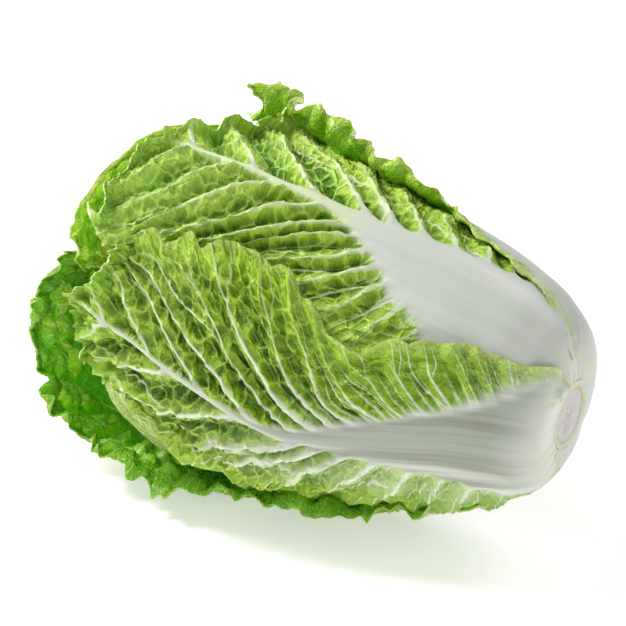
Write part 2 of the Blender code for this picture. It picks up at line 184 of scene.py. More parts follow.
# One leaf as flat points: across runs from -1 to 1 between the margins, up from 0 to 1 along it.
class LeafSheet:
    def __init__(self, leaf, across, up):
        self.leaf = leaf
        self.across = across
        self.up = up
        self.edge = np.abs(across)
        self.side = np.where(across < 0, -1.0, 1.0)

    def ofSide(self, pair):  # left of the midrib the first of two values, right of it the second
        return np.where(self.across < 0, pair[0], pair[1])

    def noise(self, a, b, draw):  # every use has a draw of its own
        return softNoise(a, b, self.leaf["seed"] + draw)

    # Where a point lies along the leaf and from its midrib, and how wide leaf and stalk are there.
    def findOutline(self):
        leaf, across, up, edge, side = self.leaf, self.across, self.up, self.edge, self.side
        first, last = leaf["span"]
        squareTurn = leaf["sweep"] * (1.0 - (1.3 - 0.3 * leaf["blunt"]) * up**2)
        longTurn = leaf["longSweep"] * (1.0 - up) + leaf["tipLeft"] * up**2
        turn = np.where((across < 0) & (leaf["longSweep"] > 0), longTurn, squareTurn)
        sweep = smoothStep(0.0, 0.25, up) * turn * edge ** growth["bend"]
        place = first + (last - first) * (up + sweep)
        ragged = self.noise(across * 6.0, leaf["seed"] * 1.7, 13)
        ragged = ragged + 0.6 * self.noise(across * 15.0, leaf["seed"] * 2.3, 14)
        place = place + growth["tipRagged"] * leaf["nibble"] * ragged * smoothStep(0.9, 1.0, up)
        right = leaf.get("right", leaf["left"])
        width = self.ofSide([eased(leaf["left"], place, 9), eased(right, place, 9)])
        width = width * (1.0 + 0.035 * np.sin(fullTurn * 5.5 * up + side) * smoothStep(0.2, 0.4, up))
        nibble = 0.7 * self.noise(place / 7.0, side * 3.0, 0)
        nibble = nibble + 0.4 * self.noise(place / 3.1, side * 7.0, 1)
        lobe, lobeLength = leaf["lobes"]
        lobed = lobe * (np.abs(np.sin(math.pi * place / lobeLength + side + 0.6 * ragged)) - 0.6)
        lobed = lobed * smoothStep(0.0, 40.0, place - leaf["lobesFrom"])
        nibbled = self.ofSide(leaf["bite"]) * leaf["nibble"] * nibble * smoothStep(40.0, 80.0, place)
        width = width + (nibbled + lobed) * smoothStep(0.5, 1.0, edge)
        stalkLeft = leaf.get("stalkLeft", leaf["stalk"])
        stalk = self.ofSide([eased(stalkLeft, place), eased(leaf["stalk"], place)])
        self.place, self.ragged, self.nibble = place, ragged, nibble
        self.width, self.stalk = width, stalk
        self.fromMid = edge * width
        self.pastStalk = np.maximum(self.fromMid - stalk, 0.0)
        self.inStalk = np.clip(1.0 - (self.fromMid / stalk) ** 2, 0.0, 1.0)
        self.blade = smoothStep(0.7, 1.6, self.fromMid / stalk)

    def fanReach(self, start):  # how far along the leaf a side vein gets on its way to the margin
        return self.ofSide([eased(fan, start, 25) for fan in self.leaf["fan"]])

    # Side veins leave the midrib at a slant that opens towards the leafy end, wander, and fork.
    def findVeins(self):
        leaf, edge, side, place = self.leaf, self.edge, self.side, self.place
        outwards = np.maximum(edge, 1e-4) ** growth["bend"]
        low, high = place - growth["longestVein"], place.copy()
        for _ in range(15):
            start = 0.5 * (low + high)
            tooFar = start + self.fanReach(start) * outwards > place
            low, high = np.where(tooFar, low, start), np.where(tooFar, start, high)
        # Towards the tip they stand wider apart and get thinner.
        sparse = 1.0 - leaf["farVeins"]
        gap = self.ofSide(leaf["veinGap"])
        counted = start - sparse * np.maximum(start - growth["farVeinsFrom"], 0.0)
        wander = self.noise(counted / gap * 0.9 + 5.0, edge * 3.0 + 9.0 * (side > 0), 2)
        row = counted / gap + 0.33 * wander * smoothStep(0.1, 0.5, edge)
        gap = gap / (1.0 - sparse * smoothStep(110.0, 116.0, start))
        opened = 1.0 + 0.25 * (self.fanReach(start + 2.0) - self.fanReach(start - 2.0)) * outwards
        slope = self.fanReach(start) * growth["bend"] * np.maximum(edge, 0.05) ** -0.2
        slope = slope / np.maximum(self.width, 8.0)
        spacing = gap * np.maximum(opened, 0.15) / np.sqrt(1.0 + slope**2)
        strong = 0.85 + 0.35 * self.noise(row * 0.7, side * 5.0, 3)
        wide = self.ofSide(leaf["veinWide"]) * (1.0 - edge) ** 1.3
        wide = wide + leaf["root"] * np.exp(-self.pastStalk / 8.0)
        wide = (leaf["twig"] + wide * (1.0 - 0.6 * smoothStep(115.0, 160.0, start))) * strong
        wide = wide * (leaf["baseVeins"] + (1.0 - leaf["baseVeins"]) * smoothStep(30.0, 90.0, start))

        def away(rows, lineWide):
            return np.abs(rows - np.round(rows)) * spacing / lineWide

        roomy = smoothStep(5.0, 9.0, spacing)
        forked = row - 0.5 * smoothStep(*growth["forkAt"], edge)
        chance = np.random.default_rng(leaf["seed"] + 30).uniform(0.0, 1.0, 64)
        drawn = chance[(np.round(forked) + 32 * (side > 0)).astype(int) % 64]
        forkShare = smoothStep(0.35, 0.55, drawn) * roomy
        toFork = away(forked, growth["forkWide"] * wide + growth["leastWide"])
        toFork = toFork + 6.0 * (1.0 - smoothStep(*growth["forkSeen"], edge) * forkShare)
        twigged = row + 0.25 * smoothStep(*growth["twigAt"], edge)
        toTwig = away(twigged, growth["twigWide"] * wide + growth["leastWide"])
        toTwig = toTwig + 6.0 * (1.0 - smoothStep(*growth["twigSeen"], edge) * roomy)
        # Near the base many short veins leave the stalk side by side.
        combed = self.ofSide(leaf["comb"])
        combShare = 1.0 - smoothStep(0.6, 1.0, start / self.ofSide(leaf["combEnd"]))
        combWide = (0.25 + (0.35 + 0.5 * leaf["root"]) * np.exp(-self.pastStalk / 9.0)) * combed
        toComb = away(row * combed, combWide) + 4.0 * (1.0 - combShare)
        toVein = np.minimum(np.minimum(away(row, wide), toFork), np.minimum(toTwig, toComb))
        outOfReach = growth["outOfReach"]
        onMidrib = self.fromMid < 0.6 * self.stalk
        self.toVein = np.where(onMidrib, outOfReach, np.minimum(toVein, outOfReach))
        self.row, self.wander, self.spacing, self.veinWide = row, wander, spacing, wide
        self.roomy, self.forkShare = roomy, forkShare
        self.combRow, self.combWide, self.combShare = row * combed, combWide, combShare

    # How high each point stands over the head's even surface.
    def raiseBlade(self):
        leaf, up, edge, side, place = self.leaf, self.up, self.edge, self.side, self.place
        fromMid, row, blade = self.fromMid, self.row, self.blade
        tuck = self.ofSide(leaf["tuck"]) * smoothStep(0.15, 0.7, edge)
        tuck = tuck * (0.25 + 0.75 * smoothStep(20.0, 110.0, place))
        calm = 1.0 - np.abs(tuck) / 9.6
        swing = 0.5 - 0.5 * np.cos(fullTurn * row)  # 1 in the valleys, 0 on the veins
        uneven = 1.0 + 0.35 * self.noise(row * 0.5, edge * 2.5 + 4.0 * side, 4)
        pleat = leaf["pleat"] * (1.0 - 2.0 * swing) * calm
        if leaf["ring"] != "outer":
            pleat = pleat * (1.0 + 1.5 * smoothStep(0.8, 1.0, up))
        rimFade = 1.0 - smoothStep(0.62, 0.95, edge)
        pleat = pleat - leaf["deep"] * swing**1.3 * uneven * rimFade * calm
        # How deep in a valley a point lies, kept for the finish as painted shade that darkens the blade
        # there.
        self.valleyShade = swing**1.2 * uneven * rimFade * blade * leaf["dark"]
        # A net of small veins lies between them, with the blade puffed towards the heart in each mesh.
        warp = 0.3 * self.noise(place / 6.0, fromMid / 6.0, 5)
        self.alongVein = 0.7 * (fromMid + place)
        acrossVein = 0.7 * (place - fromMid)
        meshLong, meshWide = leaf["cell"]
        meshRow = acrossVein / meshWide + 30.0 * (side > 0) + warp
        self.net = cellNet(self.alongVein / meshLong + warp, meshRow, leaf["seed"] + 6)
        fineMesh = growth["fineMesh"]
        fineNet = cellNet(side * fromMid / fineMesh + warp, place / fineMesh - warp, leaf["seed"] + 15)
        varied = 0.85 + 0.6 * self.noise(place / 9.0, fromMid / 9.0, 16)
        puff = leaf["puff"] * ((1.0 - np.exp(-self.net / 0.2)) * varied)
        puff = (puff + 0.25 * smoothStep(0.0, 0.6, fineNet)) * blade
        blisterWide, blisterLong = growth["blisterSize"]
        bigNet = cellNet(side * fromMid / blisterWide + warp, place / blisterLong, leaf["seed"] + 7)
        blister = self.ofSide(leaf["blister"]) * smoothStep(0.0, 0.7, bigNet) * blade
        puff = puff + blister * smoothStep(0.15, 0.4, edge)
        rib = np.exp(-(self.toVein**2)) * (0.35 + leaf["ribHigh"] * (1.0 - edge)) * blade
        wrinkle = 0.25 * self.noise(side * fromMid / 2.6, place / 2.6, 8) * blade
        strings = 0.12 * self.noise(side * fromMid / 2.4, place / 90.0, 9)
        strings = strings * smoothStep(0.0, 0.4, self.inStalk)
        height = -ringDepth(leaf["ring"], place) + tuck + blade * pleat - puff + rib + wrinkle + strings
        raised = head["stalkSwell"] * self.stalk * self.inStalk
        raised = raised + leaf["lift"] * (1.0 - smoothStep(50.0, 110.0, place))
        height = height + raised * smoothStep(2.0, 18.0, place)
        # The margin is ruffled in long and short waves.
        atTip = smoothStep(0.78, 1.0, up)
        longWave = fullTurn * 9.0 * up * (1.0 - 0.5 * atTip) + 14.0 * self.across * atTip + 1.3 * side
        longWave = 0.5 + 0.5 * np.sin(longWave + 1.5 * self.noise(up * 5.0, side, 0))
        shortWave = 0.5 + 0.5 * self.noise(place / 4.5, side * 4.0 + edge * 1.5, 10)
        ruffle = self.ofSide(leaf["ruffle"]) * np.maximum(smoothStep(0.6, 1.0, edge), atTip) * longWave
        frill = self.ofSide(leaf["frill"]) * smoothStep(0.8, 1.0, edge) * shortWave
        height = height + (ruffle + frill) * smoothStep(30.0, 90.0, place)
        # A scrap of a torn leaf is left at the foot of some.
        foot, aside, scrapHigh = leaf["scrap"]
        scrapLong, scrapWide = growth["scrapSize"]
        scrap = ((place - foot) / scrapLong) ** 4 + ((side * fromMid - aside) / scrapWide) ** 4
        torn = 0.75 + 0.5 * self.noise(side * fromMid / 2.2, place / 2.2, 21)
        self.height = height + scrapHigh * np.exp(-scrap) * torn

    # Rolls the margins and the tip outwards and gives each point its place on the head.
    def layOnHead(self, inner):
        leaf, up, side, place, fromMid = self.leaf, self.up, self.side, self.place, self.fromMid
        # A rolled margin follows an arc across the leaf, the tip one along it.
        rolls = [np.array(roll or [(0, 1.0, 0.0)]) for roll in leaf["roll"]]
        strip = self.ofSide([np.interp(place, roll[:, 0], roll[:, 1]) for roll in rolls])
        strip = np.minimum(strip, 0.6 * self.width)
        turn = np.radians(self.ofSide([np.interp(place, roll[:, 0], roll[:, 2]) for roll in rolls]))
        flutter = np.sin(fullTurn * 7.0 * up + side) + self.noise(place / 6.0, side, 11)
        turn = turn * (1.0 + leaf["flutter"] * flutter) + 1e-6
        into = np.clip((fromMid - self.width + strip) / strip, 0.0, 1.0)
        lean = turn * into
        first, last = leaf["span"]
        tipStrip, tipTurn = leaf["tipRoll"]
        tipUneven = self.noise(self.across * 3.5, leaf["seed"] * 0.9, 17)
        curl = math.radians(tipTurn) * (1.0 + 0.5 * tipUneven) + 1e-6
        tipInto = np.clip(((up - 1.0) * (last - first) + tipStrip) / tipStrip, 0.0, 1.0)
        bow = curl * tipInto
        # The rolled strips are crimped.
        crimp = np.sin(place / 2.1 + 3.0 * up + 2.0 * self.ragged) * 0.3
        crimp = crimp + 1.1 * self.noise(place / 4.5, side * 2.0 + 3.0 * into, 18)
        crimp = leaf["crimp"] * (crimp + 0.25 * self.noise(place / 2.6, fromMid / 3.0, 20))
        crimp = crimp * (0.3 + 0.7 * smoothStep(70.0, 150.0, place))
        rolled = np.maximum(into * (strip > 1.5), 0.7 * tipInto * (tipStrip > 1.5))
        crimp = crimp * smoothStep(0.2, 1.0, rolled)
        stalkThick = (leaf["thick"] - head["bladeThick"]) * eased(thinning, place) * self.inStalk
        off = crimp - np.where(inner, head["bladeThick"] + stalkThick, 0.0)
        laid = fromMid + strip * (np.sin(lean) / turn - into) - off * np.sin(lean) * np.cos(bow)
        along = place + tipStrip * (np.sin(bow) / curl - tipInto) - off * np.sin(bow)
        height = self.height + strip * (1.0 - np.cos(lean)) / turn
        height = height + tipStrip * (1.0 - np.cos(bow)) / curl + off * np.cos(lean) * np.cos(bow)
        meridian = Path(leaf["meridian"])
        angle = np.radians(eased(leaf["mid"], place))
        angle = angle + side * laid / meridian.read(meridian.girth, place)
        x, r = meridian.at(along, height)
        places = onHead(x, r, angle)
        lowest = np.where(inner, head["bladeThick"], 0.0)
        places[:, 2] = np.maximum(places[:, 2], lowest)
        return places

    # What the finish needs to know at each point.
    def facts(self, inner):
        leaf, up, edge, side, place = self.leaf, self.up, self.edge, self.side, self.place
        acrossStalk = self.fromMid / self.stalk
        leftOfMid = smoothStep(0.0, 0.9, -side * acrossStalk)
        stalkEnd = acrossStalk + 0.06 * self.wander + 0.1 * self.nibble
        frilly = smoothStep(0.7, 0.95, edge) * smoothStep(60.0, 130.0, place)
        wanLeft = leaf["paleLeft"] * leftOfMid * smoothStep(210.0, 110.0, place)
        wanLeft = wanLeft * smoothStep(0.95, 0.45, edge + 0.2 * self.wander)
        paleBlade = smoothStep(1.05, 0.35, edge) * smoothStep(1.05, 0.7, up)
        rim = smoothStep(0.93, 1.0, edge) * smoothStep(45.0, 90.0, place)
        # Painted light on the stalk: the side left of the midrib, the foot and a strip along the borders
        # take the lit colour, the rest the painted shade colour.
        litStalk = np.maximum(leftOfMid, smoothStep(40.0, 8.0, place))
        return dict(
            stalk=(1.0 - smoothStep(0.86, leaf["stalkFade"], stalkEnd)) * smoothStep(0.985, 0.93, up),
            edge=edge,
            spacing=self.spacing,
            roomy=self.roomy,
            forkShare=self.forkShare,
            veinWide=self.veinWide,
            combRow=self.combRow,
            combWide=self.combWide,
            combShare=self.combShare,
            net=self.net,
            valleyShade=self.valleyShade,
            pale=np.maximum(paleBlade, smoothStep(150.0, 70.0, place)),
            tip=smoothStep(140.0, 225.0, place) * leaf["paleTip"],
            rooted=np.exp(-self.pastStalk / (4.0 + 0.35 * self.stalk)),
            hem=smoothStep(0.86, 0.98, edge) * smoothStep(120.0, 60.0, place),
            rim=np.maximum(rim, smoothStep(0.975, 1.0, up)),
            frill=leaf["frillShare"] * np.maximum(frilly, smoothStep(0.88, 0.97, up)),
            wan=np.maximum(wanLeft, 0.9 * smoothStep(50.0, 15.0, place)),
            root=smoothStep(27.0, 5.0, place),
            far=smoothStep(12.0, 45.0, place),
            lit=np.maximum(litStalk, 0.85 * smoothStep(0.72, 0.92, acrossStalk)),
            inside=np.where(inner, 1.0, 0.0),
            green=smoothStep(40.0, 170.0, place + 20.0 * self.noise(place / 30.0, edge * 3.0, 12)),
        )

    def maps(self):  # one map in centimetres across and along, one that counts the side veins
        flat = np.stack([self.side * self.fromMid / 10.0, self.place / 10.0], axis=1)
        veined = np.stack([self.alongVein / 10.0, self.row + 40.0 * (self.side > 0)], axis=1)
        return dict(leafMap=flat, veinMap=veined)


def meshFrom(bm, name):
    mesh = bpy.data.meshes.new(name)
    bm.to_mesh(mesh)
    bm.free()
    return mesh


def pointsOf(mesh):
    points = np.empty(len(mesh.vertices) * 3, np.float32)
    mesh.vertices.foreach_get("co", points)
    return points.reshape(-1, 3).astype(float)


def addObject(name, content):
    obj = bpy.data.objects.new(name, content)
    bpy.context.scene.collection.objects.link(obj)
    return obj


def finishMesh(name, mesh, material):
    mesh.update()
    mesh.shade_smooth()
    mesh.set_sharp_from_angle(angle=math.radians(72))
    mesh.materials.append(material)
    first, *others = name.split("_")
    obj = addObject(first + "".join(word.capitalize() for word in others) + "Dressed", mesh)
    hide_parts(name)
    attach(obj, "root")


# Moves the points of a mesh to their places on the head and makes its faces look outwards.
def placePoints(mesh, places):
    mesh.vertices.foreach_set("co", (places * mm).astype(np.float32).ravel())
    points = pointsOf(mesh)
    mesh.calc_loop_triangles()
    corners = np.empty(len(mesh.loop_triangles) * 3, np.int32)
    mesh.loop_triangles.foreach_get("vertices", corners)
    a, b, c = (points[corners[i::3]] for i in (0, 1, 2))
    if np.einsum("ij,ij->i", a, np.cross(b, c)).sum() < 0.0:
        mesh.flip_normals()


# A flat grid gets its second face by extrusion, and both faces are then laid on the head alike.
def dressLeaf(name, leaf, material):
    bm = bmesh.new()
    columns, rows = leaf["grid"]
    bmesh.ops.create_grid(bm, x_segments=columns, y_segments=rows, size=1.0)
    second = bmesh.ops.extrude_face_region(bm, geom=bm.faces[:])
    secondVerts = [v for v in second["geom"] if isinstance(v, bmesh.types.BMVert)]
    bmesh.ops.translate(bm, verts=secondVerts, vec=(0.0, 0.0, -1.0))
    bmesh.ops.recalc_face_normals(bm, faces=bm.faces)
    mesh = meshFrom(bm, name)
    flatPoints = pointsOf(mesh)
    inner = flatPoints[:, 2] < -0.5  # on the face that looks at the heart
    sheet = LeafSheet(leaf, flatPoints[:, 0], 0.5 * (flatPoints[:, 1] + 1.0))
    sheet.findOutline()
    sheet.findVeins()
    sheet.raiseBlade()
    placePoints(mesh, sheet.layOnHead(inner))
    for fact, values in sheet.facts(inner).items():
        layer = mesh.attributes.new(fact, "FLOAT", "POINT")
        layer.data.foreach_set("value", np.asarray(values, np.float32))
    cornerVerts = np.empty(len(mesh.loops), np.int32)
    mesh.loops.foreach_get("vertex_index", cornerVerts)
    for title, flat in sheet.maps().items():
        layer = mesh.uv_layers.new(name=title)
        layer.data.foreach_set("uv", flat[cornerVerts].astype(np.float32).ravel())
    finishMesh(name, mesh, material)
    print(name, "dressed with", len(mesh.polygons) * 2, "triangles")


class Wire:  # a node socket that sums can be written with
    def __init__(self, tree, socket=None):
        self.tree = tree
        self.socket = socket

    def feed(self, inlet, value):
        if isinstance(value, Wire):
            self.tree.links.new(value.socket, inlet)
        elif isinstance(value, tuple) and len(value) == 3 and inlet.type == "RGBA":
            inlet.default_value = (*value, 1.0)
        else:
            inlet.default_value = value

    def node(self, kind, settings=None, inlets=None, outlet=0):
        made = self.tree.nodes.new(kind)
        for setting, value in (settings or {}).items():
            setattr(made, setting, value)
        for inlet, value in (inlets or {}).items():
            self.feed(made.inputs[inlet], value)
        return Wire(self.tree, made.outputs[outlet])

    def sum(self, operation, *values, clamp=False):
        settings = dict(operation=operation, use_clamp=clamp)
        return self.node("ShaderNodeMath", settings, dict(enumerate(values)))

    def __add__(self, other):
        return self.sum("ADD", self, other)

    def __radd__(self, other):
        return self.sum("ADD", other, self)

    def __sub__(self, other):
        return self.sum("SUBTRACT", self, other)

    def __rsub__(self, other):
        return self.sum("SUBTRACT", other, self)

    def __mul__(self, other):
        return self.sum("MULTIPLY", self, other)

    def __rmul__(self, other):
        return self.sum("MULTIPLY", other, self)

    def __truediv__(self, other):
        return self.sum("DIVIDE", self, other)

    def __pow__(self, other):
        return self.sum("POWER", self, other)

    def size(self):
        return self.sum("ABSOLUTE", self)

    def fraction(self):
        return self.sum("FRACT", self)

    def larger(self, other):
        return self.sum("MAXIMUM", self, other)

    def outlet(self, index):  # another outlet of the same node
        return Wire(self.tree, self.socket.node.outputs[index])

    def clamped(self):
        return self.sum("ADD", self, 0.0, clamp=True)

    def bell(self, width):  # 1 where the value is 0, falling away on both sides
        scaled = self / width
        return self.sum("EXPONENT", scaled * scaled * -1.0)

    def between(self, low, high):  # 0 at low and 1 at high, eased
        settings = dict(interpolation_type="SMOOTHSTEP", clamp=True)
        return self.node("ShaderNodeMapRange", settings, {0: self, 1: low, 2: high, 3: 0.0, 4: 1.0})


def blend(share, first, second):  # colours only: a Mix node has them at inlets 6 and 7 and outlet 2
    settings = dict(data_type="RGBA", clamp_factor=True)
    return share.node("ShaderNodeMix", settings, {0: share, 6: first, 7: second}, outlet=2)


unstretched = (1.0, 1.0, 1.0)


def stretchedNoise(where, stretch, scale, detail=3.0, rough=0.55):
    mapped = where.node("ShaderNodeMapping", None, {"Vector": where, "Scale": stretch})
    inlets = {"Vector": mapped, "Scale": scale, "Detail": detail, "Roughness": rough}
    return where.node("ShaderNodeTexNoise", None, inlets)


def moved(where, shift):
    return where.node("ShaderNodeVectorMath", dict(operation="ADD"), {0: where, 1: shift})


def newMaterial(name):
    material = bpy.data.materials.new(name)
    material.use_nodes = True
    shader = material.node_tree.nodes["Principled BSDF"]
    return material, shader, Wire(material.node_tree)


def dent(wire, shader, height, strength=1.0):
    bump = wire.node("ShaderNodeBump", None, {"Strength": strength, "Distance": mm, "Height": height})
    wire.feed(shader.inputs["Normal"], bump)


def letLightIn(shader, weight):
    shader.inputs["Subsurface Weight"].default_value = weight
    shader.inputs["Subsurface Scale"].default_value = 3.0 * mm


# The finish of the leaves. The inner leaves and each leaf that shows change some of it.
outerLook = dict(
    blade=(0.33, 0.57, 0.02),
    # The darkest blade green is painted shade for the valleys and mesh hollows, and also serves for
    # darker mottling.
    bladeShadeAndTone=(0.028, 0.115, 0.0003),
    youngBlade=(0.31, 0.52, 0.06),
    wanBlade=(0.68, 0.76, 0.44),
    netting=(0.44, 0.66, 0.09),
    vein=(0.60, 0.71, 0.36),
    farVein=(0.44, 0.62, 0.16),
    rim=(0.48, 0.66, 0.14),
    frill=(0.31, 0.56, 0.025),
    stalk=(0.50, 0.53, 0.47),
    stalkShade=(0.50, 0.53, 0.47),
    stalkStripe=(0.40, 0.45, 0.35),
    stalkTint=(0.46, 0.51, 0.39),
    hem=(0.58, 0.62, 0.26),
    inside=(0.28, 0.58, 0.02),
    insideDeep=(0.16, 0.42, 0.012),
    insideVein=(0.68, 0.86, 0.36),
    insideDark=(0.05, 0.20, 0.0),
    roughness=0.26,
    meshes=(0.8, 1.4),
    baseNet=0.55,
    # how much painted shade the middle of each mesh gets
    netShade=0.7,
    gloss=0.03,
    glow=0.12,
)
innerLook = dict(
    outerLook,
    blade=(0.58, 0.70, 0.24),
    bladeShadeAndTone=(0.30, 0.45, 0.08),
    youngBlade=(0.72, 0.78, 0.42),
    inside=(0.62, 0.70, 0.30),
    insideDeep=(0.40, 0.52, 0.14),
    insideVein=(0.84, 0.86, 0.62),
    insideDark=(0.34, 0.44, 0.10),
)


def leafMaterial(name, look):
    material, shader, wire = newMaterial(name)

    def fact(title):  # outlet 2 of an Attribute node is its plain number
        return wire.node("ShaderNodeAttribute", dict(attribute_name=title), outlet=2)

    def over(base, share, title):  # lays one of the look's colours over another colour
        return blend(share.clamped(), base, look[title])

    leafMap = wire.node("ShaderNodeUVMap", dict(uv_map="leafMap"))
    veinMap = wire.node("ShaderNodeUVMap", dict(uv_map="veinMap"))
    stalk, valleyShade, net = fact("stalk"), fact("valleyShade"), fact("net")
    rim, inside, green = fact("rim"), fact("inside"), fact("green")
    frill, hem, wan = fact("frill"), fact("hem"), fact("wan")
    edge, spacing, veinWide = fact("edge"), fact("spacing"), fact("veinWide")
    mottle = stretchedNoise(leafMap, unstretched, 1.3)
    fine = stretchedNoise(leafMap, unstretched, 7.0)
    row = wire.node("ShaderNodeSeparateXYZ", None, {0: veinMap}).outlet(1)

    # Side veins with their forks and twigs, drawn where the mesh has its ribs.
    def lineAt(rows, wide):
        return (((rows + 0.5).fraction() - 0.5).size() * spacing / wide).between(1.0, 0.3)

    forkWide = veinWide * growth["forkWide"] + growth["leastWide"]
    forks = lineAt(row - edge.between(*growth["forkAt"]) * 0.5, forkWide)
    forks = forks * edge.between(*growth["forkSeen"]) * fact("forkShare")
    twigWide = veinWide * growth["twigWide"] + growth["leastWide"]
    twigs = lineAt(row + edge.between(*growth["twigAt"]) * 0.25, twigWide)
    twigs = twigs * edge.between(*growth["twigSeen"]) * fact("roomy")
    combs = lineAt(fact("combRow"), fact("combWide")) * fact("combShare")
    combs = combs * (1.0 - edge.between(0.5, 0.85)) * 0.7
    veinMask = lineAt(row, veinWide).larger(forks).larger(twigs).larger(combs)
    borders = dict(feature="DISTANCE_TO_EDGE")
    crackled = {"Vector": moved(leafMap, mottle.outlet(1)), "Scale": 3.6}
    crackleLine = wire.node("ShaderNodeTexVoronoi", borders, crackled).bell(0.09)
    # The meshes of the net lie along the side veins.
    parts = wire.node("ShaderNodeSeparateXYZ", None, {0: leafMap})
    sideways, lengthways = parts.outlet(0).size(), parts.outlet(1)
    meshLong, meshWide = look["meshes"]
    slanted = {0: (sideways + lengthways) * meshLong, 1: (lengthways - sideways) * meshWide}
    slanted = moved(wire.node("ShaderNodeCombineXYZ", None, slanted), mottle.outlet(1))
    flatBorders = dict(borders, voronoi_dimensions="2D")
    meshes = wire.node("ShaderNodeTexVoronoi", flatBorders, {"Vector": slanted, "Scale": 1.0})
    netLine = meshes.between(0.085, 0.02) * (0.25 + 1.1 * mottle.between(0.3, 0.6))
    # The hollow of each mesh, used as painted shade in the colour and as a dent in the bump.
    sunk = meshes.between(0.03, 0.3)

    # The blade: young green near the foot, painted shade in the valleys and meshes, paler on the lines.
    blade = blend(green, look["youngBlade"], look["blade"])
    blade = over(blade, fact("tip") * (0.4 + 0.8 * fine), "netting")
    blade = over(blade, wan * (0.6 + 0.5 * mottle), "wanBlade")
    grown = look["baseNet"] + (1.0 - look["baseNet"]) * green
    grown = grown * (1.0 - wan * 0.35) * (1.0 - fact("tip") * 0.3)
    # Painted shade: the blade darkens in the valleys and in the hollows of the meshes, together with
    # random darker mottling.
    shadeAndMottle = valleyShade * 0.5 + sunk * 0.4 + net * look["netShade"] + (mottle - 0.6) * 0.9 - frill * 0.3
    blade = over(blade, shadeAndMottle * grown, "bladeShadeAndTone")
    blade = over(blade, netLine * 0.7 * grown, "netting")
    blade = over(blade, crackleLine * 0.15, "netting")
    blade = over(blade, frill * (0.2 + 0.8 * mottle), "frill")
    blade = over(blade, rim * (0.4 + 0.6 * mottle), "rim")
    veinColour = blend(fact("pale"), look["farVein"], look["vein"])
    veinColour = blend(fact("rooted"), veinColour, look["stalk"])
    blade = blend((veinMask * 0.92).clamped(), blade, veinColour)

    # The stalk, painted lighter on its lit side and in shade on the other, striped along its length and
    # scarred at its foot.
    stripes = stretchedNoise(leafMap, (5.0, 0.07, 1.0), 1.0, 3.0)
    soft = stretchedNoise(leafMap, (1.3, 0.05, 1.0), 1.0)
    white = blend(fact("lit"), look["stalkShade"], look["stalk"])
    white = blend(stripes.between(0.4, 0.8) * 0.4 * fact("far"), white, look["stalkStripe"])
    white = blend(soft.between(0.45, 0.66) * 0.8 * fact("far"), white, look["stalkTint"])
    white = blend(green.between(0.6, 1.0) * 0.6, white, look["vein"])
    outside = blend(stalk, blade, white)
    outside = over(outside, hem * (0.3 + 0.7 * mottle), "hem")
    scars = stretchedNoise(leafMap, (2.4, 0.4, 1.0), 1.0)
    outside = over(outside, scars.between(0.48, 0.72) * fact("root") * 0.9, "hem")

    # The face that looks at the heart.
    within = blend(mottle.between(0.3, 0.75), look["insideDeep"], look["inside"])
    within = over(within, netLine * 0.35, "insideVein")
    within = over(within, veinMask * 0.75, "insideVein")
    within = over(within, frill * (0.55 + 0.7 * mottle), "frill")
    within = over(within, (1.0 - crackleLine) * (fine - 0.25), "insideDark")
    within = over(within, rim * 0.6, "rim")
    within = blend(stalk, within, white)
    wire.feed(shader.inputs["Base Color"], blend(inside, outside, within))

    wrinkled = crackleLine * 0.25 + fine * 1.2 + mottle * 0.6 - sunk * 1.3 * grown - net * 0.8
    wrinkled = wrinkled * (1.0 - wan * 0.5) * (1.0 - inside * 0.4) - crackleLine * frill * 1.2
    ridges = veinMask * 0.5 + wrinkled * (1.0 - veinMask * 0.85)
    dent(wire, shader, ridges * (1.0 - stalk) + stripes * stalk * 0.1)
    bladeRough = look["roughness"] + (fine - 0.5) * (1.0 - stalk) * 0.5
    wire.feed(shader.inputs["Roughness"], bladeRough - inside * 0.09 + stalk * 0.12)
    wire.feed(shader.inputs["Coat Weight"], (look["gloss"] + inside * 0.35) * (1.0 - stalk))
    shader.inputs["Coat Roughness"].default_value = 0.16
    shader.inputs["Subsurface Radius"].default_value = (0.6, 1.0, 0.3)
    shader.inputs["Specular IOR Level"].default_value = 0.27
    letLightIn(shader, look["glow"])
    return material


frontLook = dict(
    outerLook,
    youngBlade=(0.24, 0.45, 0.025),
    blade=(0.37, 0.61, 0.02),
    baseNet=0.15,
    netting=(0.50, 0.74, 0.12),
    wanBlade=(0.58, 0.71, 0.38),
    vein=(0.72, 0.79, 0.58),
    hem=(0.50, 0.62, 0.16),
    stalk=(0.62, 0.65, 0.58),
    # The front stalk's shaded colour is painted shade, much darker than its lit colour.
    stalkShade=(0.35, 0.38, 0.31),
    stalkStripe=(0.16, 0.19, 0.12),
    stalkTint=(0.21, 0.23, 0.17),
)
# The under leaf's inner face is painted brighter, as painted light falling on it, and its frill darker,
# as painted shade.
underLook = dict(
    outerLook,
    rim=(0.26, 0.52, 0.03),
    frill=(0.15, 0.37, 0.008),
    inside=(0.46, 0.80, 0.06),
    insideDeep=(0.24, 0.55, 0.018),
    glow=0.5,
)
topLook = dict(
    outerLook,
    youngBlade=(0.36, 0.60, 0.05),
    blade=(0.56, 0.84, 0.08),
    bladeShadeAndTone=(0.045, 0.17, 0.0006),
    netting=(0.53, 0.78, 0.14),
    netShade=0.45,
    stalk=(0.57, 0.595, 0.54),
    stalkShade=(0.56, 0.585, 0.53),
    stalkStripe=(0.49, 0.52, 0.45),
    stalkTint=(0.52, 0.55, 0.48),
)
